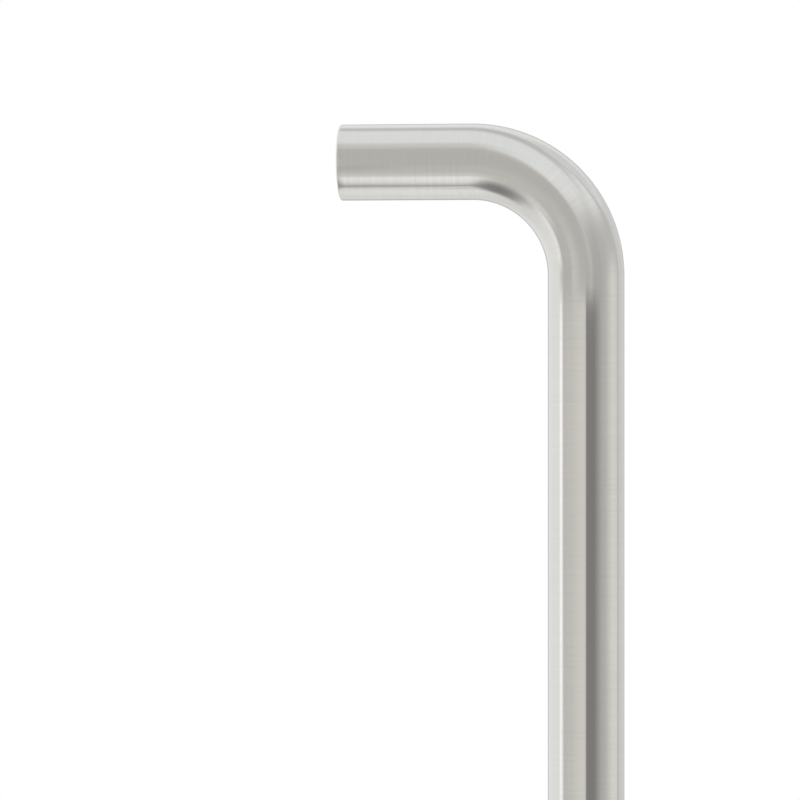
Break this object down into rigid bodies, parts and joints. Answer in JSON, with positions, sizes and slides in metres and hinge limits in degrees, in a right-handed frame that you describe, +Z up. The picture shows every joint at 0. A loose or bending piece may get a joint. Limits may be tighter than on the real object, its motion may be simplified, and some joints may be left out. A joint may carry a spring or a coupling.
{
  "type": "d pull handle",
  "caption": "D-shaped door pull of round satin stainless tube, bent square to the door at each end, with a tapped plug in each foot for bolts from the far side.",
  "frame": {"origin": "midway between the fixing centres, in the plane where the feet meet the door", "axes": "+X out of the door towards the hand, +Z up along the grip, Y across the tube"},
  "size_m": [0.071, 0.019, 0.319],
  "materials": {
    "satin_stainless": "satin",
    "turned_steel": "turned"
  },
  "bodies": {
    "root": {"bent_tube": "satin_stainless", "upper_threaded_plug": "turned_steel", "lower_threaded_plug": "turned_steel"}
  },
  "joints": []
}
